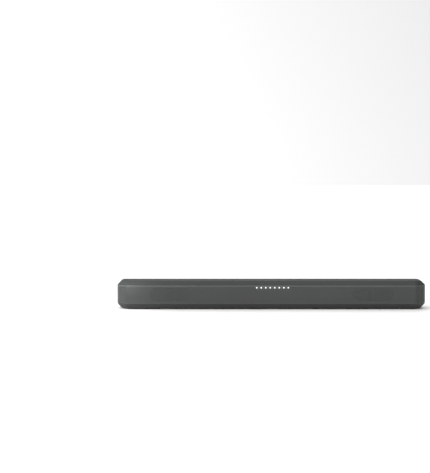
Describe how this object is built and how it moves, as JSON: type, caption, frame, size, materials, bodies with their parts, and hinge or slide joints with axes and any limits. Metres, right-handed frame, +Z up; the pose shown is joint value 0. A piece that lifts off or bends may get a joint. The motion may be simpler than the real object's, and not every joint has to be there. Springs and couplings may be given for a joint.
{
  "type": "soundbar",
  "caption": "Low dark grey television soundbar with cut corners, a wrap-round grille with a row of status lights, keys on top and socket bays behind.",
  "frame": {"origin": "on the ground under the middle of the bar", "axes": "+X along the bar to the right as its front is faced, -Y out of the front, +Z up"},
  "size_m": [0.7, 0.098, 0.064],
  "materials": {
    "cover_grey": "dark grey fine satin moulding",
    "base_black": "black textured moulding",
    "grille_grey": "dark grey powder coat on perforated steel",
    "inner_black": "black moulding",
    "foot_rubber": "matt black rubber",
    "key_grey": "dark grey satin moulding",
    "light_clear": "clear acrylic, lit white",
    "board_green": "printed board with solder mask",
    "zinc_steel": "zinc-plated pressed steel",
    "surround_rubber": "soft moulded rubber",
    "cone_paper": "pressed black paper",
    "coil_copper": "enamelled copper wire",
    "spider_cloth": "resin-stiffened cloth",
    "magnet_ferrite": "sintered ferrite",
    "wadding": "white polyester wool",
    "heatsink_aluminium": "extruded aluminium",
    "wire_sleeve": "grey insulated wire",
    "ribbon_film": "flat white ribbon",
    "capacitor_sleeve": "shrunk sleeve on an aluminium can",
    "winding_tape": "yellow insulating tape"
  },
  "bodies": {
    "root": {"top_cover": "cover_grey", "bottom_cover": "base_black", "front_grille": "grille_grey", "front_baffle": "inner_black", "rear_panel": "base_black", "foot_front_left": "foot_rubber", "foot_front_right": "foot_rubber", "foot_rear_left": "foot_rubber", "foot_rear_right": "foot_rubber", "case_screw_left_end": "zinc_steel", "case_screw_left_front": "zinc_steel", "case_screw_left_back": "zinc_steel", "case_screw_right_front": "zinc_steel", "case_screw_right_back": "zinc_steel", "case_screw_right_end": "zinc_steel", "light_guide": "light_clear", "display_board": "board_green", "remote_receiver": "inner_black", "key_board": "board_green", "left_driver_frame": "zinc_steel", "left_surround": "surround_rubber", "left_spider": "spider_cloth", "left_magnet": "magnet_ferrite", "left_yoke": "zinc_steel", "left_chamber_wall": "inner_black", "left_wadding": "wadding", "left_speaker_wire": "wire_sleeve", "right_driver_frame": "zinc_steel", "right_surround": "surround_rubber", "right_spider": "spider_cloth", "right_magnet": "magnet_ferrite", "right_yoke": "zinc_steel", "right_chamber_wall": "inner_black", "right_wadding": "wadding", "right_speaker_wire": "wire_sleeve", "main_board": "board_green", "amplifier_heatsink": "heatsink_aluminium", "wireless_module": "zinc_steel", "power_board": "board_green", "mains_transformer": "winding_tape", "reservoir_capacitor": "capacitor_sleeve", "display_ribbon": "ribbon_film", "key_ribbon": "ribbon_film", "power_lead": "wire_sleeve", "mains_inlet": "inner_black", "video_socket": "zinc_steel", "data_socket": "zinc_steel", "optical_socket": "inner_black", "aux_socket": "inner_black"},
    "standby_key": {"standby_button": "key_grey"},
    "source_key": {"source_button": "key_grey"},
    "volume_down_key": {"volume_down_button": "key_grey"},
    "volume_up_key": {"volume_up_button": "key_grey"},
    "left_moving_system": {"left_cone": "cone_paper", "left_dust_cap": "cone_paper", "left_voice_coil": "coil_copper"},
    "right_moving_system": {"right_cone": "cone_paper", "right_dust_cap": "cone_paper", "right_voice_coil": "coil_copper"},
    "shutter": {"optical_shutter": "inner_black"}
  },
  "joints": [
    {"name": "standby_press", "type": "slide", "parent": "root", "child": "standby_key", "axis": [0, 0, -1], "range_m": [0, 0.0005], "stiffness_N_per_m": 1000},
    {"name": "source_press", "type": "slide", "parent": "root", "child": "source_key", "axis": [0, 0, -1], "range_m": [0, 0.0005], "stiffness_N_per_m": 1000},
    {"name": "volume_down_press", "type": "slide", "parent": "root", "child": "volume_down_key", "axis": [0, 0, -1], "range_m": [0, 0.0005], "stiffness_N_per_m": 1000},
    {"name": "volume_up_press", "type": "slide", "parent": "root", "child": "volume_up_key", "axis": [0, 0, -1], "range_m": [0, 0.0005], "stiffness_N_per_m": 1000},
    {"name": "left_cone_travel", "type": "slide", "parent": "root", "child": "left_moving_system", "axis": [0, 1, 0], "range_m": [-0.0025, 0.0025], "stiffness_N_per_m": 1500, "deforming": ["left_surround", "left_spider"]},
    {"name": "right_cone_travel", "type": "slide", "parent": "root", "child": "right_moving_system", "axis": [0, 1, 0], "range_m": [-0.0025, 0.0025], "stiffness_N_per_m": 1500, "deforming": ["right_surround", "right_spider"]},
    {"name": "shutter_hinge", "type": "hinge", "parent": "root", "child": "shutter", "pos_m": [0.024, 0.0298, 0.03845], "axis": [-1, 0, 0], "range_deg": [0, 80], "stiffness_Nm_per_rad": 0.0005}
  ]
}
